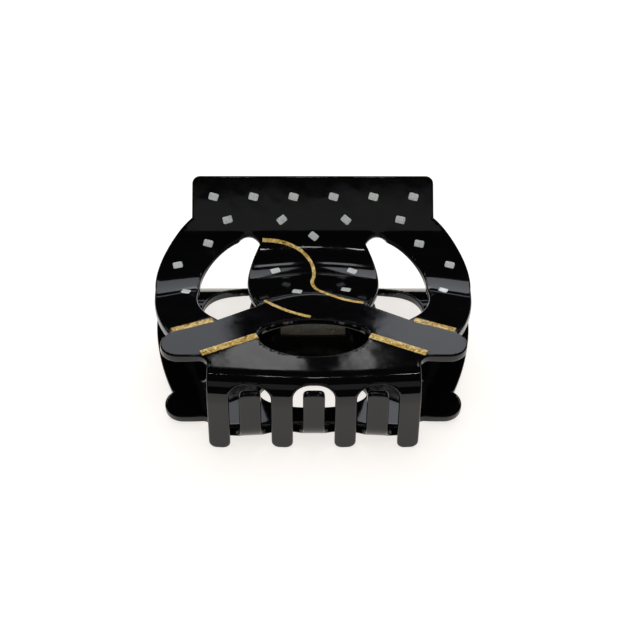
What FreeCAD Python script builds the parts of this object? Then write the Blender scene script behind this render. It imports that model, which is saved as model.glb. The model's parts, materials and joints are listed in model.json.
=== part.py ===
import FreeCAD, Part
import math
import os

# Hair claw clip: two jaws of bent acetate sheet, sprung shut on a hinge.
# All sizes are millimetres. The jaws are drawn in the clip's own axes: X across the clip,
# Y from the teeth (minus) to the press tabs (plus), Z outward from the plane between the jaws.
# place() then leans the clip back until it lies on the lower press tab and the front teeth.

V = FreeCAD.Vector
os.makedirs("parts", exist_ok=True)

# ---- acetate sheet -----------------------------------------------------------------------
SHEET = 2.3                 # thickness of the sheet
HALF_REACH = 46.0           # the sheet is drawn a little wider than the clip, then trimmed

# ---- reach of the tools that cut the sheet ----------------------------------------------------
CLEAR = 2.0                 # a cut runs this far past an edge
CUT = 6.0                   # half the length of a cut through the sheet
BELOW = 40.0                # lower than any tooth reaches
ABOVE = 60.0                # higher than the press tab reaches

# ---- side profile, on the outer face ------------------------------------------------------
TAB_ANGLE = 41.5            # press tab, from the middle plane
TAB_END = V(0, 32.4, 23.0)  # free edge of the tab
WAIST_START = 20.6          # Y where the flat tab starts to bend into the ring
RING_ANGLE = 14.0           # ring rises towards the teeth
SHOULDER_ANGLE = 3.6        # shoulder still rises a little
SHOULDER_Y = -18.5          # a point on the shoulder
SHOULDER_Z = 11.9
WEB_ANGLE = 5.0             # web falls away towards the teeth
BEND = 7.0                  # outer radius of the bend into the teeth
TEETH_Y = -40.0             # outer face of the teeth
FRONT_TIP = 11.9            # front teeth reach this far past the middle plane
REAR_TIP = 8.0              # rear teeth are shorter
FOLD_SLOPE = 0.555          # both folds arch back towards the middle of the clip
FOLD_ROUND = 10.0           # and are rounded over this half width
RING_FOLD = 1.4             # where the two folds start
WEB_FOLD = -11.7
WEB_FOLD_REACH = 33.0

# ---- outline, seen square on to the middle plane ------------------------------------------
TAB_HALF = 34.3
TAB_CORNER = 2.2
RING_HALF = 43.85
DISC_RADIUS = 18.2
DISC_Y = 6.0
EAR_X = 35.3
EAR_Y = -25.2
EAR_RADIUS = 5.0
COMB_HALF = 27.7
HOLE_HALF_LENGTH = 14.65
HOLE_HALF_WIDTH = 6.7
HOLE_Y = -21.6

# ---- teeth ---------------------------------------------------------------------------------
TOOTH_PITCH = 16.6
TOOTH_WIDTH = 5.7
TOOTH_CORNER = 1.9
FRONT_CROWN = 12.0          # crown of the arches between the teeth, where it would meet the teeth's face
REAR_CROWN = 14.0           # higher, to clear the outermost front teeth
ARCH_FOOT = 5.9             # below this height only the teeth are left

# ---- trim ----------------------------------------------------------------------------------
STONE_LENGTH = 2.7
STONE_WIDTH = 2.05
STONE_CORNER = 0.35
STONE_DEPTH = 0.9
STONE_PROUD = 0.25
STONE_BEVEL = 0.12          # less than STONE_PROUD, so that a hollow face never meets the bevel
INLAY_DEPTH = 0.45
WIDE_LINE = 2.0
FINE_LINE = 1.0

# ---- hinge ---------------------------------------------------------------------------------
PIN_Y = 4.6
PIN_RADIUS = 1.0
PIN_CLEARANCE = 0.06
PIN_HEAD_RADIUS = 1.7
PIN_HEAD = 0.8
LEAF = 0.8                  # thickness of the stamped hinge leaves
LEAF_HALF = 10.2            # half width of the front leaf
LEAF_STEP = 1.1             # the rear lugs sit this far inside the front ones
LEAF_BACK = -1.6            # Y of the two ends of each leaf
LEAF_FRONT = 12.4
LUG_RADIUS = 2.3
LUG_FLARE = 1.6             # the lugs widen towards the leaf
LUG_RISE = 9.0              # more than the pin's distance from the sheet
RIVET_RADIUS = 0.8
RIVET_HEAD_RADIUS = 1.4
RIVET_HEAD = 0.5
RIVET_BITE = 1.2            # how far a rivet's shank goes into the sheet
RIVET_X = 6.4
RIVET_Y = 10.0
WIRE = 1.0                  # spring wire diameter
COIL_RADIUS = 2.3           # to the middle of the wire
COIL_PITCH = 1.15
COIL_TURNS = 5
LEG_LENGTH = 8.5
LEG_ANGLE = 14.0            # the legs lean out to the leaves
LEG_GAP = 0.35              # between the coil and the turn that carries the front leg


def rad(angle):
    return math.radians(angle)


def shoulder_z(y):
    return SHOULDER_Z - math.tan(rad(SHOULDER_ANGLE)) * (y - SHOULDER_Y)


def fold_y(start, x):
    return start - FOLD_SLOPE * math.hypot(x, FOLD_ROUND)


def web_fold_y(x):
    """The web's fold stops moving outside the comb, so that it never meets the bend."""
    return fold_y(WEB_FOLD, min(abs(x), WEB_FOLD_REACH))


def meet(point_a, angle_a, point_b, angle_b):
    """Where two lines in the YZ plane cross, each given by a point and its angle from +Y."""
    ta = math.tan(rad(angle_a))
    tb = math.tan(rad(angle_b))
    y = (point_b.z - point_a.z + ta * point_a.y - tb * point_b.y) / (ta - tb)
    return V(0, y, point_a.z + ta * (y - point_a.y))


def stations(x, depth, tip):
    """The corners of the section at x, with the face moved inwards by depth.

    Returns the points between its straight runs and its two arcs.
    """
    fold_1 = V(0, fold_y(RING_FOLD, x), shoulder_z(fold_y(RING_FOLD, x)))
    fold_2 = V(0, web_fold_y(x), shoulder_z(web_fold_y(x)))
    angles = [TAB_ANGLE, -RING_ANGLE, -SHOULDER_ANGLE, WEB_ANGLE]
    anchors = [TAB_END, fold_1, fold_1, fold_2]
    moved = []
    for angle, anchor in zip(angles, anchors):
        moved.append(anchor + V(0, math.sin(rad(angle)), -math.cos(rad(angle))) * depth)
    tab_line, ring_line, shoulder_line, web_line = zip(moved, angles)

    tab_end = moved[0]
    start = TAB_END + V(0, -math.cos(rad(TAB_ANGLE)), -math.sin(rad(TAB_ANGLE))) * (
        (TAB_END.y - WAIST_START) / math.cos(rad(TAB_ANGLE)))
    waist_outer = meet(TAB_END, TAB_ANGLE, fold_1, -RING_ANGLE)
    turn = (TAB_ANGLE + RING_ANGLE) / 2
    radius = start.distanceToPoint(waist_outer) / math.tan(rad(turn)) + depth
    corner = meet(*tab_line, *ring_line)
    reach = radius * math.tan(rad(turn))
    along_tab = V(0, math.cos(rad(TAB_ANGLE)), math.sin(rad(TAB_ANGLE)))
    along_ring = V(0, -math.cos(rad(RING_ANGLE)), math.sin(rad(RING_ANGLE)))
    waist_a = corner + along_tab * reach
    waist_b = corner + along_ring * reach
    centre = waist_a + V(0, -along_tab.z, along_tab.y) * radius
    waist_mid = centre + (corner - centre).normalize() * radius

    ridge_1 = meet(*ring_line, *shoulder_line)
    ridge_2 = meet(*shoulder_line, *web_line)
    face_y = TEETH_Y + depth
    web_corner = V(0, face_y, moved[3].z + math.tan(rad(WEB_ANGLE)) * (face_y - moved[3].y))
    bend = BEND - depth
    bend_turn = (90 - WEB_ANGLE) / 2
    reach = bend * math.tan(rad(bend_turn))
    bend_a = web_corner + V(0, math.cos(rad(WEB_ANGLE)), math.sin(rad(WEB_ANGLE))) * reach
    bend_b = web_corner + V(0, 0, -reach)
    centre = bend_b + V(0, bend, 0)
    bend_mid = centre + (web_corner - centre).normalize() * bend
    tip_point = V(0, face_y, -tip)
    return [tab_end, waist_a, waist_mid, waist_b, ridge_1, ridge_2, bend_a, bend_mid, bend_b, tip_point]


def section(x, top, bottom, tip):
    """Closed wire of the sheet's section at x, between two depths below the outer face."""
    faces = []
    for depth in (top, bottom):
        p = [point + V(x, 0, 0) for point in stations(x, depth, tip)]
        faces.append([
            Part.LineSegment(p[0], p[1]).toShape(),
            Part.Arc(p[1], p[2], p[3]).toShape(),
            Part.LineSegment(p[3], p[4]).toShape(),
            Part.LineSegment(p[4], p[5]).toShape(),
            Part.LineSegment(p[5], p[6]).toShape(),
            Part.Arc(p[6], p[7], p[8]).toShape(),
            Part.LineSegment(p[8], p[9]).toShape(),
        ])
        faces.append((p[0], p[9]))
    outer, outer_ends, inner, inner_ends = faces
    edges = outer + [Part.LineSegment(outer_ends[1], inner_ends[1]).toShape()]
    edges += inner[::-1] + [Part.LineSegment(inner_ends[0], outer_ends[0]).toShape()]
    return Part.Wire(Part.__sortEdges__(edges))


def layer(top, bottom, tip=FRONT_TIP, half=HALF_REACH):
    """The whole bent sheet, or a skin of it, as one solid before it is trimmed."""
    steps = [-1, -0.8, -0.6, -0.42, -0.26, -0.12, 0, 0.12, 0.26, 0.42, 0.6, 0.8, 1]
    wires = [section(step * half, top, bottom, tip) for step in steps]
    solid = Part.makeLoft(wires, True, False)
    if solid.Volume < 0:
        solid.reverse()
    return solid


def outer_face(x, y):
    """Point and outward direction of the outer face above a place in the plan."""
    p = stations(x, 0, FRONT_TIP)
    if p[3].y < y < p[1].y:
        circle = Part.Arc(p[1], p[2], p[3]).toShape().Curve
        centre = circle.Center
        z = centre.z - math.sqrt(circle.Radius ** 2 - (y - centre.y) ** 2)
        out = V(0, centre.y - y, centre.z - z).normalize()
        return V(x, y, z), out
    runs = [(p[0], p[1]), (p[3], p[4]), (p[4], p[5]), (p[5], p[6])]
    for high, low in runs:
        if y >= low.y:
            break
    along = (high - low).normalize()
    z = low.z + along.z / along.y * (y - low.y)
    return V(x, y, z), V(0, -along.z, along.y)


def arc(a, b, c):
    """Arc in the plan through three (x, y) points."""
    return Part.Arc(V(*a, 0), V(*b, 0), V(*c, 0)).toShape()


def line(a, b):
    return Part.LineSegment(V(*a, 0), V(*b, 0)).toShape()


def column(edges):
    """Upright prism on a closed outline in the plan."""
    face = Part.Face(Part.Wire(Part.__sortEdges__(edges)))
    face.translate(V(0, 0, -BELOW))
    return face.extrude(V(0, 0, BELOW + ABOVE))


def both_sides(shape):
    return [shape, shape.mirror(V(0, 0, 0), V(1, 0, 0))]


def body_outline():
    """Tab, ring, ears and comb as one column, without its openings."""
    foot = (TAB_HALF, 23.4)
    widest = (RING_HALF, 3.0)
    cusp = (38.35, -20.9)
    ear_end = (EAR_X, EAR_Y + 0.15 - EAR_RADIUS)
    notch = 2.4
    notch_top = (COMB_HALF + notch, ear_end[1])
    notch_low = (COMB_HALF, ear_end[1] - notch)
    bow = notch * (1 - math.sqrt(0.5))
    right = [
        line((0, 40), (TAB_HALF, 40)),
        line((TAB_HALF, 40), foot),
        arc(foot, (41.2, 16.2), widest),
        arc(widest, (42.8, -8.0), cusp),
        arc(cusp, (EAR_X + EAR_RADIUS, EAR_Y), ear_end),
        line(ear_end, notch_top),
        arc(notch_top, (COMB_HALF + bow, ear_end[1] - bow), notch_low),
        line(notch_low, (COMB_HALF, -45)),
        line((COMB_HALF, -45), (0, -45)),
    ]
    left = [edge.mirror(V(0, 0, 0), V(1, 0, 0)) for edge in right]
    return column(right + left)


def crescent():
    """Opening between the ring and the disc, on the right-hand side."""
    top = (15.0, 17.5)
    heel = (15.6, -7.2)
    toe = (14.8, -8.9)
    corner = (25.5, -15.0)
    side = (31.4, 2.8)
    brow = (21.0, 18.15)
    return column([
        arc(top, (DISC_RADIUS, DISC_Y), heel),
        line(heel, toe),
        line(toe, corner),
        arc(corner, (30.3, -8.6), side),
        arc(side, (28.5, 12.6), brow),
        arc(brow, (16.7, 19.0), top),
    ])


def oval():
    ellipse = Part.Ellipse(V(0, HOLE_Y, 0), HOLE_HALF_LENGTH, HOLE_HALF_WIDTH)
    return column([ellipse.toShape()])


def gap(centre_x, crown):
    """Space between two teeth: an arch cut square to the bend, open at the bottom."""
    half = (TOOTH_PITCH - TOOTH_WIDTH) / 2
    left, right = centre_x - half, centre_x + half
    spring = crown - half
    edges = [
        Part.Arc(V(left, TEETH_Y, spring), V(centre_x, TEETH_Y, crown), V(right, TEETH_Y, spring)).toShape(),
        Part.LineSegment(V(right, TEETH_Y, spring), V(right, TEETH_Y, -BELOW)).toShape(),
        Part.LineSegment(V(right, TEETH_Y, -BELOW), V(left, TEETH_Y, -BELOW)).toShape(),
        Part.LineSegment(V(left, TEETH_Y, -BELOW), V(left, TEETH_Y, spring)).toShape(),
    ]
    face = Part.Face(Part.Wire(Part.__sortEdges__(edges)))
    square_to_bend = V(0, 1, -1).normalize() * CUT
    face.translate(-square_to_bend)
    return face.extrude(square_to_bend * 2)


def tooth(centre_x, tip):
    """Room that one tooth may fill below the arches, with rounded corners at its tip."""
    start = V(centre_x - TOOTH_WIDTH / 2, TEETH_Y - CUT, -tip)
    box = Part.makeBox(TOOTH_WIDTH, 2 * CUT, BELOW + tip, start)
    at_tip = [e for e in box.Edges if abs(e.CenterOfMass.z + tip) < 0.01]
    corners = [e for e in at_tip if abs(e.CenterOfMass.y - TEETH_Y) < 0.01]
    return box.makeFillet(TOOTH_CORNER, corners)


def tab_corners():
    """What the rounded corners take off the free end of the press tab."""
    size = TAB_CORNER
    corner = Part.makeBox(size + CLEAR, size + CLEAR, 2 * CUT, V(-size, -size, -CUT))
    corner = corner.cut(Part.makeCylinder(size, 2 * CUT, V(-size, -size, -CUT)))
    corner.rotate(V(0, 0, 0), V(1, 0, 0), TAB_ANGLE)
    corner.translate(V(TAB_HALF, TAB_END.y, TAB_END.z))
    return both_sides(corner)


def jaw_blank(tooth_centres, gap_centres, crown, tip):
    """A jaw before its trim is let in."""
    jaw = layer(0, SHEET, tip).common(body_outline())
    jaw = jaw.cut(both_sides(crescent()) + [oval()] + tab_corners())
    jaw = jaw.cut([gap(x, crown) for x in gap_centres])
    below = Part.makeBox(2 * HALF_REACH, 2 * CUT, BELOW + ARCH_FOOT, V(-HALF_REACH, TEETH_Y - CUT, -BELOW))
    below = below.cut([tooth(x, tip) for x in tooth_centres])
    return jaw.cut(below)


# ---- trim ----------------------------------------------------------------------------------
def stone(x, y, spin):
    """Oblong stone let into the outer face, its table just proud of it."""
    start = V(-STONE_LENGTH / 2, -STONE_WIDTH / 2, -STONE_DEPTH)
    block = Part.makeBox(STONE_LENGTH, STONE_WIDTH, STONE_DEPTH + STONE_PROUD, start)
    uprights = [e for e in block.Edges if abs(e.Vertexes[0].Z - e.Vertexes[1].Z) > 0.5]
    block = block.makeFillet(STONE_CORNER, uprights)
    rim = [e for e in block.Edges if min(v.Z for v in e.Vertexes) > STONE_PROUD - 0.01]
    block = block.makeChamfer(STONE_BEVEL, rim)
    block.rotate(V(0, 0, 0), V(0, 0, 1), spin)
    point, out = outer_face(x, y)
    block.Placement = FreeCAD.Placement(point, FreeCAD.Rotation(V(0, 0, 1), out)).multiply(block.Placement)
    return block


STONE_GROUPS = {
    "stones_tab_upper": [(x * 11.36 + 0.2, 27.85, -15) for x in (-2.5, -1.5, -0.5, 0.5, 1.5, 2.5)],
    "stones_tab_lower": [(-24.2, 22.9, 15), (-8.8, 22.9, 38), (0.2, 19.3, -40), (9.4, 22.9, -40), (24.8, 22.9, -12)],
    "stones_ring_left": [(-29.6, 17.6, -15), (-38.0, 11.5, 12), (-35.1, 1.0, -20)],
    "stones_ring_right": [(30.1, 17.5, -12), (38.5, 11.6, -14), (36.0, 1.8, -25)],
    "stones_disc": [(-10.5, 8.6, 20), (-4.4, -2.9, -15), (10.9, 8.5, -25), (8.9, -1.5, -15)],
}


def strip(points, width):
    """Column on a curved line of constant width in the plan, through hand-set points."""
    centre = Part.BSplineCurve()
    centre.interpolate([V(*p, 0) for p in points])
    count = 4 * len(points)
    first, last = centre.FirstParameter, centre.LastParameter
    sides = {1: [], -1: []}
    for i in range(count + 1):
        t = first + (last - first) * i / count
        along = V(*centre.tangent(t)[0])
        across = V(-along.y, along.x, 0).normalize()
        for side, row in sides.items():
            row.append(centre.value(t) + across * (side * width / 2))
    edges = []
    for row in sides.values():
        curve = Part.BSplineCurve()
        curve.interpolate(row)
        edges.append(curve.toShape())
    for end in (0, -1):
        edges.append(Part.LineSegment(sides[1][end], sides[-1][end]).toShape())
    return column(edges)


def straight(a, b, width):
    along = (V(*b, 0) - V(*a, 0)).normalize()
    across = V(-along.y, along.x, 0) * (width / 2)
    ends = [V(*a, 0) + across, V(*b, 0) + across, V(*b, 0) - across, V(*a, 0) - across]
    return column(Part.makePolygon(ends + ends[:1]).Edges)


def inlay_lines():
    ring_line = ((26.9, -15.35), (37.6, -19.4), WIDE_LINE)
    web_line = ((14.9, -21.7), (29.4, -28.85), WIDE_LINE)
    lines = {}
    for name, (a, b, width) in {"ring": ring_line, "shoulder": web_line}.items():
        right, left = both_sides(straight(a, b, width))
        lines[name + "_line_right"] = right
        lines[name + "_line_left"] = left
    lines["disc_curve"] = strip(
        [(-14.3, 18.4), (-11.0, 18.2), (-7.4, 17.5), (-3.5, 15.6), (-1.0, 12.6), (0.1, 9.2), (0.2, 5.5),
         (-0.3, 2.2), (0.8, -1.6), (4.4, -4.6), (8.8, -6.9), (13.6, -8.2)], FINE_LINE)
    lines["disc_line"] = strip(
        [(-13.3, -7.0), (-10.6, -9.3), (-7.0, -11.6), (-4.0, -13.0), (-0.8, -14.2)], FINE_LINE)
    return lines


# ---- hinge ---------------------------------------------------------------------------------
def leaf(lug_x):
    """Stamped leaf on the inner face of a disc, with a lug at each side for the pin."""
    plate = layer(SHEET, SHEET + LEAF).common(
        Part.makeBox(2 * lug_x, LEAF_FRONT - LEAF_BACK, ABOVE, V(-lug_x, LEAF_BACK, 0)))
    above = layer(-LUG_RISE, SHEET)
    for side in (-1, 1):
        x = side * lug_x - (LEAF if side > 0 else 0)
        foot = LUG_RADIUS + LUG_FLARE
        corners = [V(x, PIN_Y - LUG_RADIUS, 0), V(x, PIN_Y + LUG_RADIUS, 0),
                   V(x, PIN_Y + foot, LUG_RISE), V(x, PIN_Y - foot, LUG_RISE)]
        web = Part.Face(Part.makePolygon(corners + corners[:1])).extrude(V(LEAF, 0, 0))
        eye = Part.makeCylinder(LUG_RADIUS, LEAF, V(x, PIN_Y, 0), V(1, 0, 0))
        plate = plate.fuse(web.fuse(eye).cut(above))
    bore = Part.makeCylinder(PIN_RADIUS + PIN_CLEARANCE, 4 * lug_x, V(-2 * lug_x, PIN_Y, 0), V(1, 0, 0))
    return plate.cut([bore] + rivets()).removeSplitter()


def rivets():
    """Two rivets that hold a leaf: shank in the sheet, head on the leaf."""
    pieces = []
    for side in (-1, 1):
        point, out = outer_face(side * RIVET_X, RIVET_Y)
        seat = point - out * (SHEET + LEAF)
        shank = Part.makeCylinder(RIVET_RADIUS, LEAF + RIVET_BITE, seat, out)
        head = Part.makeCylinder(RIVET_HEAD_RADIUS, RIVET_HEAD, seat - out * RIVET_HEAD, out)
        pieces.append(shank.fuse(head).removeSplitter())
    return pieces


def hinge_pin():
    reach = LEAF_HALF + 0.1
    pin = Part.makeCylinder(PIN_RADIUS, 2 * reach, V(-reach, PIN_Y, 0), V(1, 0, 0))
    for start in (-reach - PIN_HEAD, reach):
        pin = pin.fuse(Part.makeCylinder(PIN_HEAD_RADIUS, PIN_HEAD, V(start, PIN_Y, 0), V(1, 0, 0)))
    return pin.removeSplitter()


def spring_leg(x, side):
    """Straight wire that leaves the coil on a tangent; side is +1 outwards, -1 for the rear leaf."""
    a = rad(LEG_ANGLE)
    start = V(x, PIN_Y - COIL_RADIUS * math.sin(a), side * COIL_RADIUS * math.cos(a))
    along = V(0, math.cos(a), side * math.sin(a))
    return Part.makeCylinder(WIRE / 2, LEG_LENGTH, start, along)


def wire_coil(x, turns):
    """Closed-wound wire about the hinge pin, starting at x."""
    helix = Part.makeHelix(COIL_PITCH, COIL_PITCH * turns, COIL_RADIUS)
    profile = Part.Wire(Part.makeCircle(WIRE / 2, V(COIL_RADIUS, 0, 0), V(0, 1, 0)))
    coil = Part.Wire(helix).makePipeShell([profile], True, True)
    coil.rotate(V(0, 0, 0), V(0, 1, 0), 90)
    coil.translate(V(x, PIN_Y, 0))
    return coil


# ---- assembly ------------------------------------------------------------------------------
def flip(shape):
    """From the front jaw's side of the middle plane to the rear jaw's."""
    return shape.mirror(V(0, 0, 0), V(0, 0, 1))


def group(solids):
    return solids[0] if len(solids) == 1 else Part.makeCompound(solids)


def dress(blank, prefix):
    """Let the stones and gold lines into a jaw; returns all its nodes."""
    nodes = {}
    cutters = []
    for name, places in STONE_GROUPS.items():
        stones = [stone(*place) for place in places]
        nodes[prefix + name] = group(stones)
        cutters += stones
    skin = layer(-1, INLAY_DEPTH)
    for name, shape in inlay_lines().items():
        groove = skin.common(shape)
        nodes[prefix + name] = blank.common(groove)
        cutters.append(groove)
    jaw = blank.cut(cutters + rivets())
    nodes[prefix + "jaw"] = jaw.removeSplitter()
    return nodes


def build():
    four = [step * TOOTH_PITCH for step in (-1.5, -0.5, 0.5, 1.5)]
    three = [step * TOOTH_PITCH for step in (-1, 0, 1)]
    front = dress(jaw_blank(four, three, FRONT_CROWN, FRONT_TIP), "front_")
    front["front_leaf"] = leaf(LEAF_HALF)
    front["front_rivets"] = group(rivets())
    rear = dress(jaw_blank(three, four, REAR_CROWN, REAR_TIP), "rear_")
    rear["rear_leaf"] = leaf(LEAF_HALF - LEAF_STEP)
    rear["rear_rivets"] = group(rivets())
    rear = {name: flip(shape) for name, shape in rear.items()}

    start = -COIL_PITCH * COIL_TURNS / 2 - 1
    coil = wire_coil(start, COIL_TURNS)
    rear["torsion_spring"] = coil.fuse(spring_leg(start, -1))
    hub = start + COIL_PITCH * COIL_TURNS + WIRE + LEG_GAP
    ring = Part.makeTorus(COIL_RADIUS, WIRE / 2, V(hub, PIN_Y, 0), V(1, 0, 0))
    front["spring_front_leg"] = ring.fuse(spring_leg(hub, 1))
    rear["hinge_pin"] = hinge_pin()
    return {**front, **rear}


def place(nodes):
    """Lean the clip onto the rear tab's edge and the front teeth, and set its base at Z = 0."""
    lean = math.degrees(math.atan2(TAB_END.z - FRONT_TIP, TAB_END.y - TEETH_Y))
    for shape in nodes.values():
        shape.rotate(V(0, 0, 0), V(1, 0, 0), lean)
    box = FreeCAD.BoundBox()
    for shape in nodes.values():
        box.add(shape.optimalBoundingBox(False))
    move = V(0, -(box.YMin + box.YMax) / 2, -box.ZMin)
    for shape in nodes.values():
        shape.translate(move)
    pivot = V(0, PIN_Y * math.cos(rad(lean)), PIN_Y * math.sin(rad(lean))) + move
    return lean, move, pivot


nodes = build()
lean, move, pivot = place(nodes)
for name, shape in nodes.items():
    shape.exportStep(f"parts/{name}.step")
    solids = shape.Solids
    print(f"{name:28s} solids {len(solids):2d} valid {shape.isValid()} volume {shape.Volume:9.2f}")
print("lean", round(lean, 4), "move", move, "pivot", pivot)
box = FreeCAD.BoundBox()
for shape in nodes.values():
    box.add(shape.BoundBox)
print("size", round(box.XLength, 2), round(box.YLength, 2), round(box.ZLength, 2))
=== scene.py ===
import bpy
import bmesh
import json
import math
from mathutils import Matrix, Vector


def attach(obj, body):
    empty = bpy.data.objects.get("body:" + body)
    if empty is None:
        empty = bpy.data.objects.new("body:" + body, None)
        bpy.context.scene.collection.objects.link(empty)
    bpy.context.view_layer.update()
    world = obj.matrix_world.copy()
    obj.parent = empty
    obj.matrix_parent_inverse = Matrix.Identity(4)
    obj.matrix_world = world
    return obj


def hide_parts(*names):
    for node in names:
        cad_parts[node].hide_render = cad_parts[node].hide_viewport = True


# Hair claw clip: two jaws cut from flat black acetate sheet and bent hot, with stones and gold lines let in.
# Flat work is in millimetres, in the clip's own axes: X across, Y from the teeth to the press tabs,
# Z outward from the plane between the jaws. placing() carries a bent piece to its place in metres.
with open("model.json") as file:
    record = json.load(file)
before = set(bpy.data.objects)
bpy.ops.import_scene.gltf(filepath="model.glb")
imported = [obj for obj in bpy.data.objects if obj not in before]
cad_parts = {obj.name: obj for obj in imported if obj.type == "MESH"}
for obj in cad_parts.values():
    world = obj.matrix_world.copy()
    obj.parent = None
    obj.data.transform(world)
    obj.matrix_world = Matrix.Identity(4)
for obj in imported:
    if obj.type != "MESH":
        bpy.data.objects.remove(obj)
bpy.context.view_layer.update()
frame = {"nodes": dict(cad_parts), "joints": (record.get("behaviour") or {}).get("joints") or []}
joint = frame["joints"][0]
MM = 0.001

# ---- sheet and its side profile ---------------------------------------------------------------------
SHEET = 2.3
EDGE_ROUND = 0.5
TAB_ANGLE = math.radians(41.5)
TAB_Y = 32.4
TAB_Z = 23.0
WAIST_START = 20.6
RING_ANGLE = math.radians(14)
SHOULDER_ANGLE = math.radians(3.6)
SHOULDER_Y = -18.5
SHOULDER_Z = 11.9
WEB_ANGLE = math.radians(5)
BEND = 7.0
TEETH_Y = -40.0
TIPS = {"front": 11.9, "rear": 8.0}
FOLD_SLOPE = 0.555
FOLD_ROUND = 10.0
FOLD_SOFT = 0.9             # half width of the rounding along each fold
RING_FOLD = 1.4
WEB_FOLD = -11.7
WEB_FOLD_REACH = 33.0
PIN_Y = 4.6
LEAN = math.atan2(TAB_Z - TIPS["front"], TAB_Y - TEETH_Y)

# ---- size of the cells that a sheet is cut into before it is bent -----------------------------------
SHEET_CELL = 1.0
BEND_CELL = 0.6
LINE_CELL = 0.8

# ---- outline ----------------------------------------------------------------------------------------
TAB_HALF = 34.3
TAB_CORNER = 2.2
COMB_HALF = 27.7
NOTCH = 2.4
EAR_FOOT = (35.3, -30.05)
PITCH = 16.6
TOOTH = 5.7
TOOTH_CORNER = {"front": 2.1, "rear": 1.4}
ARCH_CROWN = {"front": 3.75, "rear": 2.3}   # along the sheet, from where the bend starts
ARCH_SPRING = {"front": 7.7, "rear": 6.2}
ARCH_LIFT = 0.73            # how much of the web's own arch the arches between the teeth follow
HOLE_Y = -21.6
HOLE_AXES = (14.65, 6.7)

BEND_START = TEETH_Y + BEND * math.tan((math.pi / 2 - WEB_ANGLE) / 2) * math.cos(WEB_ANGLE)
BEND_LENGTH = BEND * (math.pi / 2 - WEB_ANGLE)


# ---- the bent surface -------------------------------------------------------------------------------
def fold_y(start, x):
    """Both folds arch back towards the middle of the clip."""
    return start - FOLD_SLOPE * math.hypot(x, FOLD_ROUND)


def ramp(distance):
    """A corner between level and one-in-one, rounded over FOLD_SOFT each way, and its slope."""
    if distance <= -FOLD_SOFT:
        return 0.0, 0.0
    if distance >= FOLD_SOFT:
        return distance, 1.0
    share = (distance + FOLD_SOFT) / (2 * FOLD_SOFT)
    return FOLD_SOFT * share * share, share


def ring_fold_point(x):
    y = fold_y(RING_FOLD, x)
    return y, SHOULDER_Z - math.tan(SHOULDER_ANGLE) * (y - SHOULDER_Y)


def upper_face(x, y):
    """Height and slope of the outer face from the free end of the tab to the start of the bend."""
    fold, fold_z = ring_fold_point(x)
    tab_slope = math.tan(TAB_ANGLE)
    ring_slope = -math.tan(RING_ANGLE)
    level = TAB_Z - tab_slope * TAB_Y
    corner = (fold_z - ring_slope * fold - level) / (tab_slope - ring_slope)
    reach = (WAIST_START - corner) / math.cos(TAB_ANGLE)
    if y >= WAIST_START:
        return level + tab_slope * y, tab_slope
    if y > corner - reach * math.cos(RING_ANGLE):
        radius = reach / math.tan((TAB_ANGLE + RING_ANGLE) / 2)
        centre_y = WAIST_START - radius * math.sin(TAB_ANGLE)
        centre_z = level + tab_slope * WAIST_START + radius * math.cos(TAB_ANGLE)
        height = math.sqrt(radius * radius - (y - centre_y) ** 2)
        return centre_z - height, (y - centre_y) / height
    shoulder_slope = -math.tan(SHOULDER_ANGLE)
    web = fold_y(WEB_FOLD, min(abs(x), WEB_FOLD_REACH))
    rise, rise_slope = ramp(y - fold)
    fall, fall_slope = ramp(web - y)
    web_turn = math.tan(WEB_ANGLE) - shoulder_slope
    z = SHOULDER_Z + shoulder_slope * (y - SHOULDER_Y) + (ring_slope - shoulder_slope) * rise - web_turn * fall
    return z, shoulder_slope + (ring_slope - shoulder_slope) * rise_slope + web_turn * fall_slope


def bend_height(x):
    """Height of the centre of the bend, which is where the straight part of the teeth starts."""
    return upper_face(x, BEND_START)[0] - BEND * math.cos(WEB_ANGLE)


def bent(x, t, depth):
    """Where the hot bend carries a point of the flat sheet: t runs along the sheet, depth into it."""
    if t >= BEND_START:
        z, slope = upper_face(x, t)
        out = Vector((0, -slope, 1)).normalized()
        return Vector((x, t, z)) - out * depth
    along = BEND_START - t
    turn = WEB_ANGLE + min(along, BEND_LENGTH) / BEND
    out = Vector((0, -math.sin(turn), math.cos(turn)))
    centre = Vector((x, TEETH_Y + BEND, bend_height(x) - max(0.0, along - BEND_LENGTH)))
    return centre + out * (BEND - depth)


def placing(side):
    """Matrix from the clip's own axes, in millimetres, to the frame, in metres."""
    mirror = Matrix.Scale(-1, 4, (0, 0, 1)) if side == "rear" else Matrix.Identity(4)
    hinge = Matrix.Translation(Vector(joint["pos_m"]))
    lean = Matrix.Rotation(LEAN, 4, "X")
    return hinge @ lean @ Matrix.Scale(MM, 4) @ Matrix.Translation((0, -PIN_Y, 0)) @ mirror


def seat(x, y):
    """Matrix that stands a small piece on the outer face of the front jaw, at a place in the plan."""
    z, slope = upper_face(x, y)
    out = Vector((0, -slope, 1)).normalized()
    across = Vector((1, 0, 0))
    turn = Matrix((across, out.cross(across), out)).transposed().to_4x4()
    return Matrix.Translation((x, y, z)) @ turn


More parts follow.
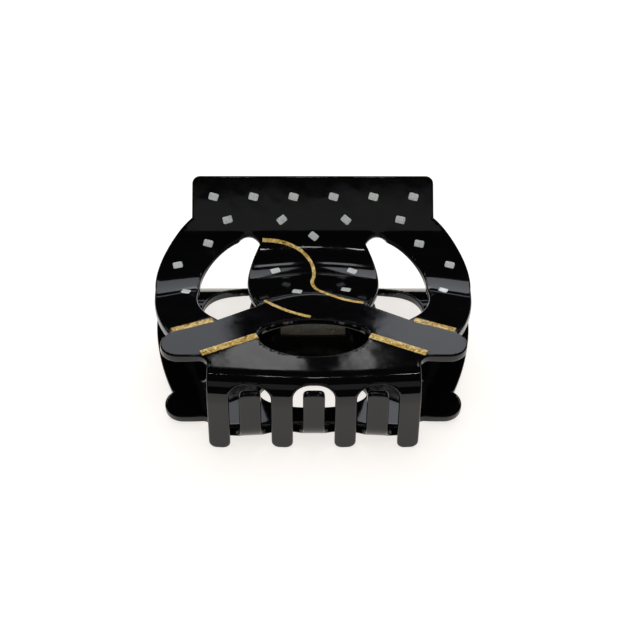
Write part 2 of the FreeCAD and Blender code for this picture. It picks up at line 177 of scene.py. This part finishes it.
# ---- flat outlines ----------------------------------------------------------------------------------
def arc(a, b, c, count):
    """Points on the arc from a through b to c, without its last one."""
    ax, ay, bx, by, cx, cy = *a, *b, *c
    d = 2 * (ax * (by - cy) + bx * (cy - ay) + cx * (ay - by))
    sa, sb, sc = ax * ax + ay * ay, bx * bx + by * by, cx * cx + cy * cy
    centre = Vector(((sa * (by - cy) + sb * (cy - ay) + sc * (ay - by)) / d,
                     (sa * (cx - bx) + sb * (ax - cx) + sc * (bx - ax)) / d))
    start = Vector(a) - centre
    total = start.angle_signed(Vector(c) - centre)
    first = start.angle_signed(Vector(b) - centre)
    if first * total < 0:
        total -= math.copysign(2 * math.pi, total)
    points = []
    for i in range(count):
        turn = Matrix.Rotation(-total * i / count, 2)
        points.append(tuple(centre + turn @ start))
    return points


def quarter(corner, start, end, count):
    """Rounded corner from start to end, a quarter of an ellipse on the two sides of corner."""
    middle = (start[0] + end[0] - corner[0], start[1] + end[1] - corner[1])
    points = []
    for i in range(count + 1):
        a = math.pi / 2 * i / count
        u, v = math.cos(a), math.sin(a)
        points.append((middle[0] + u * (start[0] - middle[0]) + v * (end[0] - middle[0]),
                       middle[1] + u * (start[1] - middle[1]) + v * (end[1] - middle[1])))
    return points


def arch(side, centre_x, x_from, x_to, count):
    """Arch between two teeth, on the flat sheet."""
    half = (PITCH - TOOTH) / 2
    crown, spring = ARCH_CROWN[side], ARCH_SPRING[side]
    lift = ARCH_LIFT * (bend_height(centre_x) - bend_height(0))
    points = []
    for i in range(count + 1):
        a = math.acos((x_from - centre_x) / half)
        b = math.acos((x_to - centre_x) / half)
        turn = a + (b - a) * i / count
        drop = spring - (spring - crown) * math.sin(turn)
        points.append((centre_x + half * math.cos(turn), BEND_START - drop - lift))
    return points


def tooth_foot(side, x_outer, x_inner):
    """Rounded tip of a tooth, from its outer side to its inner side."""
    x = (x_outer + x_inner) / 2
    end = BEND_START - BEND_LENGTH - bend_height(x) - TIPS[side]
    r = TOOTH_CORNER[side]
    return (quarter((x_outer, end), (x_outer, end + r), (x_outer - r, end), 7)
            + quarter((x_inner, end), (x_inner + r, end), (x_inner, end + r), 7))


def half_outline(side):
    """Right-hand half of the jaw's outline, from the tab's rounded corner to the middle of the comb."""
    shrink = math.cos(TAB_ANGLE)
    foot = (TAB_HALF, 23.4)
    widest = (43.85, 3.0)
    cusp = (38.35, -20.9)
    corner = (TAB_HALF, TAB_Y)
    notch_top = (COMB_HALF + NOTCH, EAR_FOOT[1])
    notch_low = (COMB_HALF, EAR_FOOT[1] - NOTCH)
    points = quarter(corner, (TAB_HALF - TAB_CORNER, TAB_Y), (TAB_HALF, TAB_Y - TAB_CORNER * shrink), 8)
    points += arc(foot, (41.2, 16.2), widest, 18)
    points += arc(widest, (42.8, -8.0), cusp, 22)
    points += arc(cusp, (40.3, -25.2), EAR_FOOT, 14)
    points += [EAR_FOOT]
    bow = NOTCH * (1 - math.sqrt(0.5))
    points += arc(notch_top, (COMB_HALF + bow, EAR_FOOT[1] - bow), notch_low, 8)
    points += [notch_low]
    if side == "front":
        centres = [1.5 * PITCH, 0.5 * PITCH]
    else:
        centres = [PITCH, 0]
        points += arch(side, 1.5 * PITCH, COMB_HALF, PITCH + TOOTH / 2, 9)
    for x in centres:
        if x == 0:
            half_tip = [p for p in tooth_foot(side, TOOTH / 2, -TOOTH / 2) if p[0] > 0]
            points += half_tip
            break
        outer = min(x + TOOTH / 2, COMB_HALF)
        points += tooth_foot(side, outer, x - TOOTH / 2)
        gap = x - PITCH / 2
        if gap < 0.1:
            points += arch(side, 0, (PITCH - TOOTH) / 2, 0.0, 9)[:-1]
        else:
            points += arch(side, gap, x - TOOTH / 2, gap - (PITCH - TOOTH) / 2, 16)
    return points


def crescent():
    """Opening between the ring and the disc."""
    top, heel, toe, corner = (15.0, 17.5), (15.6, -7.2), (14.8, -8.9), (25.5, -15.0)
    side, brow = (31.4, 2.8), (21.0, 18.15)
    return (arc(top, (18.2, 6.0), heel, 20) + [heel, toe] + arc(corner, (30.3, -8.6), side, 18)
            + arc(side, (28.5, 12.6), brow, 18) + arc(brow, (16.7, 19.0), top, 8))


def oval():
    points = []
    count = 64
    for i in range(count):
        a = 2 * math.pi * i / count
        points.append((HOLE_AXES[0] * math.cos(a), HOLE_Y + HOLE_AXES[1] * math.sin(a)))
    return points


def mirrored(points):
    return [(-x, y) for x, y in reversed(points)]


# ---- building a sheet piece -------------------------------------------------------------------------
def loop_edges(bm, points):
    corners = [bm.verts.new((x, y, 0)) for x, y in points]
    return [bm.edges.new((a, b)) for a, b in zip(corners, corners[1:] + corners[:1])]


def flat(face):
    return abs(face.normal.z) > 0.999


def plate(loops, thickness, rounding):
    """Flat plate with holes: the outline filled, thickened, and rounded along both rims."""
    bm = bmesh.new()
    edges = []
    for points in loops:
        edges += loop_edges(bm, points)
    bmesh.ops.triangle_fill(bm, use_beauty=True, use_dissolve=False, edges=edges, normal=(0, 0, 1))
    bmesh.ops.recalc_face_normals(bm, faces=bm.faces)
    if sum(f.normal.z for f in bm.faces) < 0:
        bmesh.ops.reverse_faces(bm, faces=bm.faces)
    top = list(bm.faces)
    lower = bmesh.ops.extrude_face_region(bm, geom=top, use_keep_orig=True)["geom"]
    lower = [v for v in lower if isinstance(v, bmesh.types.BMVert)]
    bmesh.ops.translate(bm, verts=lower, vec=(0, 0, -thickness))
    bmesh.ops.recalc_face_normals(bm, faces=bm.faces)
    bm.normal_update()
    rims = [e for e in bm.edges if len(e.link_faces) == 2 and flat(e.link_faces[0]) != flat(e.link_faces[1])]
    bmesh.ops.bevel(bm, geom=rims, offset=rounding, offset_type="OFFSET", affect="EDGES", segments=3,
                    profile=0.5, material=-1, loop_slide=False, clamp_overlap=False)
    bm.normal_update()
    for edge in bm.edges:
        edge.seam = len(edge.link_faces) == 2 and all(flat(f) for f in edge.link_faces)
    return bm


def cut_grid(bm, step, fine_below=None, fine_step=None):
    """Slice a plate into small cells, so that it can bend, and take out the triangles it was filled with."""
    cuts = []
    for axis in (0, 1):
        values = [v.co[axis] for v in bm.verts]
        at = math.floor(min(values) / step) * step + step / 2
        while at < max(values):
            cuts.append((axis, at))
            at += fine_step if axis == 1 and fine_below is not None and at < fine_below else step
    for axis, at in cuts:
        point = Vector((0, 0, 0))
        point[axis] = at
        normal = Vector((0, 0, 0))
        normal[axis] = 1
        geom = bm.verts[:] + bm.edges[:] + bm.faces[:]
        bmesh.ops.bisect_plane(bm, geom=geom, dist=1e-5, plane_co=point, plane_no=normal)
    bmesh.ops.dissolve_edges(bm, edges=[e for e in bm.edges if e.seam], use_verts=False, use_face_split=False)
    spare = [v for v in bm.verts if len(v.link_edges) == 2]
    bmesh.ops.dissolve_verts(bm, verts=spare)


def finish_piece(bm, name, side, material, nodes, smooth=True):
    """Place a piece, hand it to its jaw's body and hide the CAD nodes it stands for."""
    bmesh.ops.transform(bm, matrix=placing(side), verts=bm.verts)
    bmesh.ops.recalc_face_normals(bm, faces=bm.faces)
    for face in bm.faces:
        face.smooth = smooth
    for edge in bm.edges:
        edge.seam = False
    mesh = bpy.data.meshes.new(name)
    bm.to_mesh(mesh)
    bm.free()
    piece = bpy.data.objects.new(name, mesh)
    bpy.context.scene.collection.objects.link(piece)
    mesh.materials.append(material)
    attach(piece, side)
    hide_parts(*nodes)
    return piece


def bend_all(bm):
    for vert in bm.verts:
        vert.co = bent(vert.co.x, vert.co.y, -vert.co.z)


def jaw(side, material):
    half = half_outline(side)
    outline = half + mirrored(half)
    bm = plate([outline, crescent(), mirrored(crescent()), oval()], SHEET, EDGE_ROUND)
    cut_grid(bm, SHEET_CELL, fine_below=BEND_START + SHEET_CELL, fine_step=BEND_CELL)
    bend_all(bm)
    piece = finish_piece(bm, f"{side}_acetate_jaw", side, material, [f"{side}_jaw"])
    weighted = piece.modifiers.new("even shading", "WEIGHTED_NORMAL")
    weighted.weight = 60


# ---- stones and gold lines --------------------------------------------------------------------------
STONE_LENGTH = 2.7
STONE_WIDTH = 2.05
STONE_PROUD = 0.03          # the girdle stands this far out of the sheet
STONE_DEPTH = 0.7
STONE_CORNER = 0.42
CROWN_STEPS = ((0.12, 0.07), (0.30, 0.05))    # how far each step of the crown goes in and up
STONE_SETS = {
    "stones_tab_upper": [(x * 11.36 + 0.2, 27.85, -15) for x in (-2.5, -1.5, -0.5, 0.5, 1.5, 2.5)],
    "stones_tab_lower": [(-24.2, 22.9, 15), (-8.8, 22.9, 38), (0.2, 19.3, -40), (9.4, 22.9, -40),
                         (24.8, 22.9, -12)],
    "stones_ring_left": [(-29.6, 17.6, -15), (-38.0, 11.5, 12), (-35.1, 1.0, -20)],
    "stones_ring_right": [(30.1, 17.5, -12), (38.5, 11.6, -14), (36.0, 1.8, -25)],
    "stones_disc": [(-10.5, 8.6, 20), (-4.4, -2.9, -15), (10.9, 8.5, -25), (8.9, -1.5, -15)],
}


def stone(bm, x, y, spin):
    """Oblong stone: rounded corners, a cut crown that slopes up to a wide flat table."""
    made = bmesh.ops.create_cube(bm, size=1)["verts"]
    bmesh.ops.scale(bm, verts=made, vec=(STONE_LENGTH, STONE_WIDTH, STONE_PROUD + STONE_DEPTH))
    bmesh.ops.translate(bm, verts=made, vec=(0, 0, (STONE_PROUD - STONE_DEPTH) / 2))
    own = set(made)
    edges = {e for v in own for e in v.link_edges}
    uprights = [e for e in edges if abs(e.verts[0].co.z - e.verts[1].co.z) > 0.1]
    rounded = bmesh.ops.bevel(bm, geom=uprights, offset=STONE_CORNER, offset_type="OFFSET", affect="EDGES",
                              segments=3, profile=0.5, material=-1)
    faces = {f for v in own if v.is_valid for f in v.link_faces} | set(rounded["faces"])
    for vert in rounded["verts"]:
        faces |= set(vert.link_faces)
    table = max(faces, key=lambda f: (f.calc_center_median().z, f.calc_area()))
    for inset, lift in CROWN_STEPS:
        bmesh.ops.inset_region(bm, faces=[table], thickness=inset, depth=lift, use_even_offset=True)
    corners = set()
    grow = [table]
    seen = {table}
    while grow:
        face = grow.pop()
        corners |= set(face.verts)
        for edge in face.edges:
            for other in edge.link_faces:
                if other not in seen:
                    seen.add(other)
                    grow.append(other)
    turn = Matrix.Rotation(math.radians(spin), 4, "Z")
    bmesh.ops.transform(bm, matrix=seat(x, y) @ turn, verts=list(corners))


def stones(side, name, places, material):
    bm = bmesh.new()
    for place in places:
        stone(bm, *place)
    finish_piece(bm, f"{side}_{name}_cut", side, material, [f"{side}_{name}"], smooth=False)


WIDE_LINE = 2.0
FINE_LINE = 1.0
LINE_PROUD = 0.05
LINE_DEPTH = 0.4
LINE_ROUND = 0.08           # rounding of a line's rims
ROUTE_STEP = 0.5
CURVE_POINTS = [(-14.3, 18.4), (-11.0, 18.2), (-7.4, 17.5), (-3.5, 15.6), (-1.0, 12.6), (0.1, 9.2), (0.2, 5.5),
                (-0.3, 2.2), (0.8, -1.6), (4.4, -4.6), (8.8, -6.9), (13.6, -8.2)]
LOWER_POINTS = [(-13.3, -7.0), (-10.6, -9.3), (-7.0, -11.6), (-4.0, -13.0), (-0.8, -14.2)]
LINES = {
    "ring_line_right": ([(26.9, -15.35), (37.6, -19.4)], WIDE_LINE),
    "ring_line_left": ([(-37.6, -19.4), (-26.9, -15.35)], WIDE_LINE),
    "shoulder_line_right": ([(14.9, -21.7), (29.4, -28.85)], WIDE_LINE),
    "shoulder_line_left": ([(-29.4, -28.85), (-14.9, -21.7)], WIDE_LINE),
    "disc_curve": (CURVE_POINTS, FINE_LINE),
    "disc_line": (LOWER_POINTS, FINE_LINE),
}


def smooth_route(points):
    """Evenly spaced points on a smooth line through the given ones."""
    ends = [2 * Vector(points[0]) - Vector(points[1]), 2 * Vector(points[-1]) - Vector(points[-2])]
    knots = [ends[0]] + [Vector(p) for p in points] + [ends[1]]
    route = []
    for a, b, c, d in zip(knots, knots[1:], knots[2:], knots[3:]):
        count = max(3, round((c - b).length / ROUTE_STEP))
        for i in range(count):
            t = i / count
            route.append(0.5 * (2 * b + (c - a) * t + (2 * a - 5 * b + 4 * c - d) * t * t
                                + (3 * b - a - 3 * c + d) * t * t * t))
    return route + [Vector(points[-1])]


def gold_line(side, name, material):
    """Line of gold glitter in clear resin, poured into a groove and polished almost flush."""
    points, width = LINES[name]
    route = smooth_route(points)
    left, right = [], []
    for i, point in enumerate(route):
        along = (route[min(i + 1, len(route) - 1)] - route[max(i - 1, 0)]).normalized()
        across = Vector((-along.y, along.x)) * (width / 2)
        left.append(tuple(point + across))
        right.append(tuple(point - across))
    bm = plate([right + left[::-1]], LINE_DEPTH + LINE_PROUD, LINE_ROUND)
    bmesh.ops.translate(bm, verts=bm.verts, vec=(0, 0, LINE_PROUD))
    cut_grid(bm, LINE_CELL)
    bend_all(bm)
    finish_piece(bm, f"{side}_{name}_gold", side, material, [f"{side}_{name}"])


# ---- materials --------------------------------------------------------------------------------------
def colour(hex_value):
    """sRGB hex to linear, with alpha."""
    channels = []
    for i in (0, 2, 4):
        c = int(hex_value[i:i + 2], 16) / 255
        channels.append(c / 12.92 if c <= 0.04045 else ((c + 0.055) / 1.055) ** 2.4)
    return (*channels, 1.0)


def add(tree, kind, settings=None, links=None):
    """Add a node: settings are its properties or input values, links its inputs from other nodes' outputs."""
    node = tree.nodes.new(kind)
    for key, value in (settings or {}).items():
        if isinstance(key, str) and hasattr(node, key):
            setattr(node, key, value)
        else:
            node.inputs[key].default_value = value
    for key, (source, output) in (links or {}).items():
        tree.links.new(source.outputs[output], node.inputs[key])
    return node


def new_material(name):
    material = bpy.data.materials.new(name)
    material.use_nodes = True
    material.node_tree.nodes.clear()
    return material, material.node_tree


def polished_black_acetate():
    """Cellulose acetate sheet, tumbled to a deep gloss: near-black with a faint cool cast, a slow ripple
    left by hot bending, and hairline scuffs that dull the gloss in places."""
    material, tree = new_material("polished_black_acetate")
    place = add(tree, "ShaderNodeTexCoord")
    ripple = add(tree, "ShaderNodeTexNoise", {"Scale": 1 / (14 * MM), "Detail": 2.0},
                 {"Vector": (place, "Object")})
    peel = add(tree, "ShaderNodeTexNoise", {"Scale": 1 / (1.6 * MM), "Detail": 3.0},
               {"Vector": (place, "Object")})
    scuffs = add(tree, "ShaderNodeTexNoise", {"Scale": 1 / (5 * MM), "Detail": 8.0, "Roughness": 0.7},
                 {"Vector": (place, "Object")})
    tint = add(tree, "ShaderNodeValToRGB", {}, {"Fac": (ripple, "Fac")})
    tint.color_ramp.elements[0].color = colour("060607")
    tint.color_ramp.elements[1].color = colour("0a0a0c")
    gloss = add(tree, "ShaderNodeMapRange",
                {"From Min": 0.35, "From Max": 0.75, "To Min": 0.035, "To Max": 0.11},
                {"Value": (scuffs, "Fac")})
    slow = add(tree, "ShaderNodeBump", {"Strength": 0.10, "Distance": 0.6 * MM}, {"Height": (ripple, "Fac")})
    fine = add(tree, "ShaderNodeBump", {"Strength": 0.05, "Distance": 0.05 * MM},
               {"Height": (peel, "Fac"), "Normal": (slow, "Normal")})
    shader = add(tree, "ShaderNodeBsdfPrincipled", {"IOR": 1.49},
                 {"Base Color": (tint, "Color"), "Roughness": (gloss, "Result"), "Normal": (fine, "Normal")})
    add(tree, "ShaderNodeOutputMaterial", {}, {"Surface": (shader, "BSDF")})
    return material


def foiled_crystal():
    """Cut glass stone with a silver foil back: pale grey-green, with brighter and darker flecks in it."""
    material, tree = new_material("foiled_crystal")
    place = add(tree, "ShaderNodeTexCoord")
    flecks = add(tree, "ShaderNodeTexVoronoi", {"Scale": 1 / (0.45 * MM)}, {"Vector": (place, "Object")})
    tint = add(tree, "ShaderNodeValToRGB", {}, {"Fac": (flecks, "Distance")})
    tint.color_ramp.elements[0].color = colour("f0f3f0")
    tint.color_ramp.elements[1].color = colour("c6ccc7")
    shader = add(tree, "ShaderNodeBsdfPrincipled", {"Metallic": 0.1, "Roughness": 0.22, "IOR": 1.52,
                                                    "Coat Weight": 1.0, "Coat Roughness": 0.04},
                 {"Base Color": (tint, "Color")})
    add(tree, "ShaderNodeOutputMaterial", {}, {"Surface": (shader, "BSDF")})
    return material


def gold_glitter_resin():
    """Gold flakes about 0.3 mm wide in clear resin: each flake tips its own way, and dark gaps show between."""
    material, tree = new_material("gold_glitter_resin")
    place = add(tree, "ShaderNodeTexCoord")
    flakes = add(tree, "ShaderNodeTexVoronoi", {"Scale": 1 / (0.42 * MM)}, {"Vector": (place, "Object")})
    patches = add(tree, "ShaderNodeTexNoise", {"Scale": 1 / (1.3 * MM), "Detail": 4.0, "Roughness": 0.65},
                  {"Vector": (place, "Object")})
    tone = add(tree, "ShaderNodeSeparateColor", {}, {"Color": (flakes, "Color")})
    mixed = add(tree, "ShaderNodeMath", {"operation": "MULTIPLY_ADD", 1: 0.45},
                {0: (tone, "Red"), 2: (patches, "Fac")})
    tint = add(tree, "ShaderNodeValToRGB", {}, {"Fac": (mixed, "Value")})
    ramp_colours = tint.color_ramp
    ramp_colours.elements[0].position = 0.40
    ramp_colours.elements[0].color = colour("573809")
    ramp_colours.elements[1].position = 0.98
    ramp_colours.elements[1].color = colour("ffe9a0")
    for position, value in ((0.52, "b1842a"), (0.70, "dcb148")):
        ramp_colours.elements.new(position).color = colour(value)
    tilt = add(tree, "ShaderNodeBump", {"Strength": 0.55, "Distance": 0.12 * MM}, {"Height": (tone, "Green")})
    shader = add(tree, "ShaderNodeBsdfPrincipled", {"Metallic": 0.2, "Roughness": 0.38, "Coat Weight": 0.6,
                                                    "Coat Roughness": 0.08},
                 {"Base Color": (tint, "Color"), "Normal": (tilt, "Normal")})
    add(tree, "ShaderNodeOutputMaterial", {}, {"Surface": (shader, "BSDF")})
    return material


def nickel_plate():
    """Bright nickel over stamped steel: warm grey mirror with fine stamping drag and slightly dull patches."""
    material, tree = new_material("nickel_plate")
    place = add(tree, "ShaderNodeTexCoord")
    stretch = add(tree, "ShaderNodeMapping", {"Scale": (1.0, 14.0, 14.0)}, {"Vector": (place, "Object")})
    drag = add(tree, "ShaderNodeTexNoise", {"Scale": 1 / (3 * MM), "Detail": 5.0},
               {"Vector": (stretch, "Vector")})
    patches = add(tree, "ShaderNodeTexNoise", {"Scale": 1 / (4 * MM), "Detail": 3.0},
                  {"Vector": (place, "Object")})
    tint = add(tree, "ShaderNodeValToRGB", {}, {"Fac": (patches, "Fac")})
    tint.color_ramp.elements[0].color = colour("c9c5bb")
    tint.color_ramp.elements[1].color = colour("dedbd3")
    gloss = add(tree, "ShaderNodeMapRange", {"To Min": 0.14, "To Max": 0.32}, {"Value": (drag, "Fac")})
    bump = add(tree, "ShaderNodeBump", {"Strength": 0.12, "Distance": 0.03 * MM}, {"Height": (drag, "Fac")})
    shader = add(tree, "ShaderNodeBsdfPrincipled", {"Metallic": 1.0},
                 {"Base Color": (tint, "Color"), "Roughness": (gloss, "Result"), "Normal": (bump, "Normal")})
    add(tree, "ShaderNodeOutputMaterial", {}, {"Surface": (shader, "BSDF")})
    return material


def drawn_spring_wire():
    """Hard-drawn spring wire: darker steel with fine draw marks round the coil and a thin film of oil."""
    material, tree = new_material("drawn_spring_wire")
    place = add(tree, "ShaderNodeTexCoord")
    marks = add(tree, "ShaderNodeTexNoise", {"Scale": 1 / (0.35 * MM), "Detail": 6.0, "Roughness": 0.6},
                {"Vector": (place, "Object")})
    film = add(tree, "ShaderNodeTexNoise", {"Scale": 1 / (2.5 * MM), "Detail": 2.0},
               {"Vector": (place, "Object")})
    tint = add(tree, "ShaderNodeValToRGB", {}, {"Fac": (film, "Fac")})
    tint.color_ramp.elements[0].color = colour("8f9092")
    tint.color_ramp.elements[1].color = colour("b7b7b6")
    gloss = add(tree, "ShaderNodeMapRange", {"To Min": 0.2, "To Max": 0.42}, {"Value": (marks, "Fac")})
    bump = add(tree, "ShaderNodeBump", {"Strength": 0.15, "Distance": 0.02 * MM}, {"Height": (marks, "Fac")})
    shader = add(tree, "ShaderNodeBsdfPrincipled", {"Metallic": 1.0},
                 {"Base Color": (tint, "Color"), "Roughness": (gloss, "Result"), "Normal": (bump, "Normal")})
    add(tree, "ShaderNodeOutputMaterial", {}, {"Surface": (shader, "BSDF")})
    return material


def lit_table():
    """White acrylic table lit softly from below, so that shadows on it stay pale; a faint tooth in its tint."""
    material, tree = new_material("lit_table")
    place = add(tree, "ShaderNodeTexCoord")
    tooth = add(tree, "ShaderNodeTexNoise", {"Scale": 1 / (2 * MM), "Detail": 4.0},
                {"Vector": (place, "Object")})
    tint = add(tree, "ShaderNodeValToRGB", {}, {"Fac": (tooth, "Fac")})
    tint.color_ramp.elements[0].color = colour("fcf8f4")
    tint.color_ramp.elements[1].color = colour("fffbf7")
    shader = add(tree, "ShaderNodeBsdfPrincipled", {"Roughness": 0.6, "Base Color": colour("b9b7b3"),
                                                    "Emission Strength": 0.80},
                 {"Emission Color": (tint, "Color")})
    add(tree, "ShaderNodeOutputMaterial", {}, {"Surface": (shader, "BSDF")})
    return material


# ---- the object -------------------------------------------------------------------------------------
acetate = polished_black_acetate()
crystal = foiled_crystal()
gold = gold_glitter_resin()
nickel = nickel_plate()
wire = drawn_spring_wire()

for side in ("front", "rear"):
    jaw(side, acetate)
    for name, places in STONE_SETS.items():
        stones(side, name, places, crystal)
    for name in LINES:
        gold_line(side, name, gold)

for name in ("front_leaf", "front_rivets", "rear_leaf", "rear_rivets", "hinge_pin"):
    metal = frame["nodes"][name]
    metal.data.materials.clear()
    metal.data.materials.append(nickel)
for name in ("torsion_spring", "spring_front_leg"):
    coil = frame["nodes"][name]
    coil.data.materials.clear()
    coil.data.materials.append(wire)


# ---- floor, light and camera ------------------------------------------------------------------------
def floor():
    bm = bmesh.new()
    bmesh.ops.create_grid(bm, x_segments=1, y_segments=1, size=3)
    mesh = bpy.data.meshes.new("studio_floor")
    bm.to_mesh(mesh)
    bm.free()
    paper = bpy.data.objects.new("studio_floor", mesh)
    bpy.context.scene.collection.objects.link(paper)
    mesh.materials.append(lit_table())


AIM = Vector((-0.15, 1.997, 17.824)) * MM
CAMERA_ELEVATION = math.radians(34.3)
CAMERA_SWING = math.radians(0.42)
CAMERA_DISTANCE = 0.430
FOCAL_LENGTH = 88.7
SENSOR = 36


def soft_box(name, azimuth, elevation, distance, size, power, reflected=True, tint="ffffff"):
    """Rectangular lamp that faces the clip; azimuth 0 is behind it, 90 to its right."""
    a, e = math.radians(azimuth), math.radians(elevation)
    toward = Vector((math.sin(a) * math.cos(e), math.cos(a) * math.cos(e), math.sin(e)))
    lamp = bpy.data.lights.new(name, "AREA")
    lamp.shape = "RECTANGLE"
    lamp.size, lamp.size_y = size
    lamp.energy = power
    lamp.color = colour(tint)[:3]
    box = bpy.data.objects.new(name, lamp)
    facing = toward.to_track_quat("Z", "Y").to_matrix().to_4x4()
    box.matrix_world = Matrix.Translation(AIM + toward * distance) @ facing
    box.visible_glossy = reflected
    bpy.context.scene.collection.objects.link(box)


def lights():
    soft_box("overhead_fill", 0, 90, 1.2, (1.8, 1.8), 13, reflected=False)
    soft_box("back_left_box", -24, 46, 0.7, (0.30, 0.27), 0.42, tint="f2f6ff")
    soft_box("back_right_box", 24, 46, 0.7, (0.30, 0.27), 0.50, tint="f2f6ff")
    soft_box("back_bar", 0, 37, 0.7, (0.30, 0.06), 0.065)
    soft_box("high_left_box", -10, 65, 0.7, (0.045, 0.05), 0.022)
    soft_box("high_right_box", 9, 65, 0.7, (0.05, 0.05), 0.022)
    for aside in (-35, 0, 35):
        soft_box("small_lamp", 180 + aside, 82, 0.5, (0.02, 0.004), 0.01)
    soft_box("back_strip", 0, 28.5, 0.9, (1.2, 0.03), 0.12, tint="eef2ff")
    soft_box("front_panel", 180, 40.7, 1.2, (1.2, 0.452), 0.47)
    world = bpy.data.worlds.new("dark_studio")
    world.use_nodes = True
    world.node_tree.nodes["Background"].inputs["Color"].default_value = colour("1c1c1e")
    world.node_tree.nodes["Background"].inputs["Strength"].default_value = 0.3
    bpy.context.scene.world = world


def camera():
    """Looks down on the clip from the teeth's side, from very slightly left of its middle."""
    right = Vector((1, 0, 0))
    ahead = Vector((0, math.cos(CAMERA_ELEVATION), -math.sin(CAMERA_ELEVATION)))
    up = right.cross(ahead)
    turn = Matrix.Rotation(-CAMERA_SWING, 3, up)
    axes = Matrix((turn @ right, up, turn @ -ahead)).transposed().to_4x4()
    lens = bpy.data.cameras.new("camera")
    lens.sensor_width = SENSOR
    lens.lens = FOCAL_LENGTH
    lens.clip_start = 0.01
    view = bpy.data.objects.new("camera", lens)
    view.matrix_world = Matrix.Translation(AIM - turn @ ahead * CAMERA_DISTANCE) @ axes
    bpy.context.scene.collection.objects.link(view)
    bpy.context.scene.camera = view


floor()
lights()
camera()
bpy.context.scene.view_settings.view_transform = "Standard"
